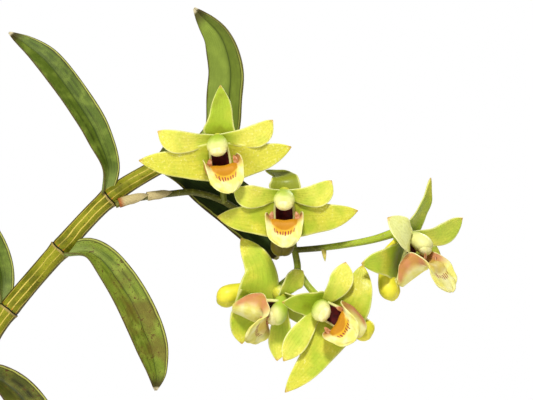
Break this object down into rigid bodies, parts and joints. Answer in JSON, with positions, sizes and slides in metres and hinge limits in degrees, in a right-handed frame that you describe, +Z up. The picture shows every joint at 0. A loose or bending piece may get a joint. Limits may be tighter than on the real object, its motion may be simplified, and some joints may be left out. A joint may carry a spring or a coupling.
{
  "type": "potted orchid",
  "caption": "Potted orchid in flower: a clump of jointed canes with two rows of strap leaves, one cane arching over with a spray of pale yellow-green blooms.",
  "frame": {"origin": "middle of the pot's underside, where it stands", "axes": "+Z up, +X the way the flowering cane arches, the blooms facing -Y"},
  "size_m": [0.2071, 0.096, 0.2618],
  "materials": {
    "clay": "unglazed fired clay",
    "bark": "rough dry bark flakes",
    "cane": "living cane, satin",
    "dry_cane": "dry papery sheath",
    "leaf": "thick satin leaf",
    "stalk": "living stalk, satin",
    "papery_bract": "dry papery",
    "sepal": "waxy satin",
    "lip": "waxy satin",
    "column": "waxy satin"
  },
  "bodies": {
    "root": {"pot": "clay", "potting_mix": "bark", "main_cane": "cane", "left_cane": "cane", "old_cane": "dry_cane", "young_cane": "cane", "flower_stalk": "stalk", "bract_lower": "papery_bract", "bract_upper": "papery_bract", "leaf_upper_left": "leaf", "leaf_top": "leaf", "leaf_right": "leaf", "leaf_left": "leaf", "leaf_lower_right": "leaf", "leaf_lower_left": "leaf", "leaf_low_right": "leaf", "leaf_shaded": "leaf", "left_cane_leaf_1": "leaf", "left_cane_leaf_2": "leaf", "left_cane_leaf_3": "leaf", "left_cane_leaf_4": "leaf", "young_cane_leaf_1": "leaf", "young_cane_leaf_2": "leaf", "young_cane_leaf_3": "leaf", "bloom_top_sepals_and_petals": "sepal", "bloom_top_lip": "lip", "bloom_top_column": "column", "bloom_middle_sepals_and_petals": "sepal", "bloom_middle_lip": "lip", "bloom_middle_column": "column", "bloom_lower_left_sepals_and_petals": "sepal", "bloom_lower_left_lip": "lip", "bloom_lower_left_column": "column", "bloom_lower_right_sepals_and_petals": "sepal", "bloom_lower_right_lip": "lip", "bloom_lower_right_column": "column", "bloom_right_sepals_and_petals": "sepal", "bloom_right_lip": "lip", "bloom_right_column": "column"}
  },
  "joints": []
}
